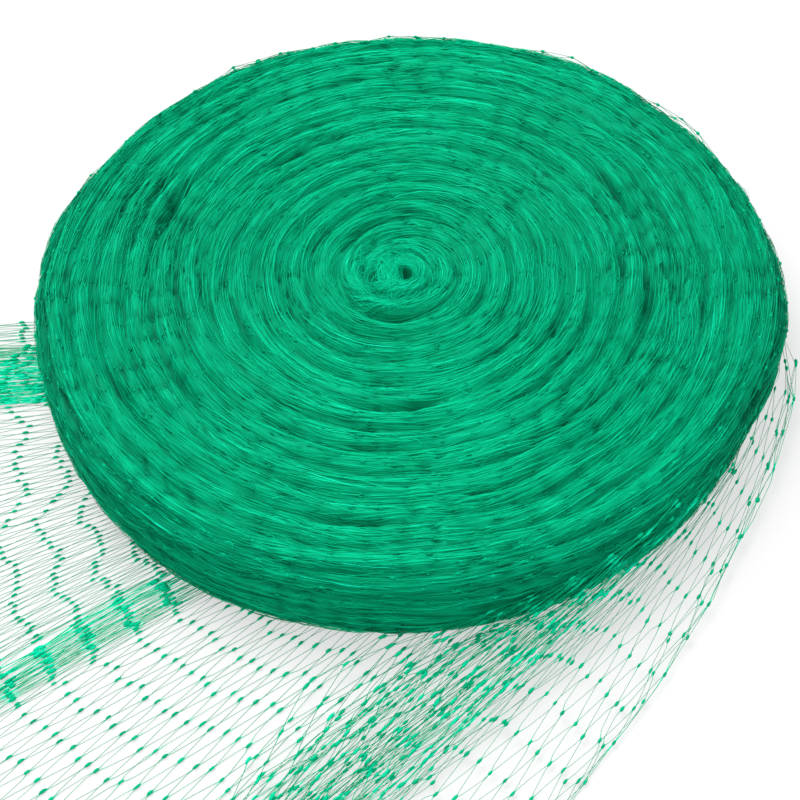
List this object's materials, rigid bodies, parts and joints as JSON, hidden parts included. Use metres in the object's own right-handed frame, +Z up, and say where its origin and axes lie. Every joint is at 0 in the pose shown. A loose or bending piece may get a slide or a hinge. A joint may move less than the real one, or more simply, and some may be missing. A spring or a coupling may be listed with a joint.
{
  "type": "bird netting roll",
  "caption": "Green diamond-mesh bird netting, gathered and wound flat into a disc, lying on its own loose end, which fans out over the surface.",
  "frame": {"origin": "on the surface that the part lies on, under the centre of the winding", "axes": "+Z up along the winding's axis, -Y towards the front, where the loose net shows, and +X towards the side where it leaves the rim"},
  "size_m": [0.272, 0.2927, 0.0293],
  "materials": {
    "green_net": "knotted thin plastic thread, slightly glossy and translucent"
  },
  "bodies": {
    "root": {"wound_roll": "green_net", "loose_net": "green_net"}
  },
  "joints": []
}
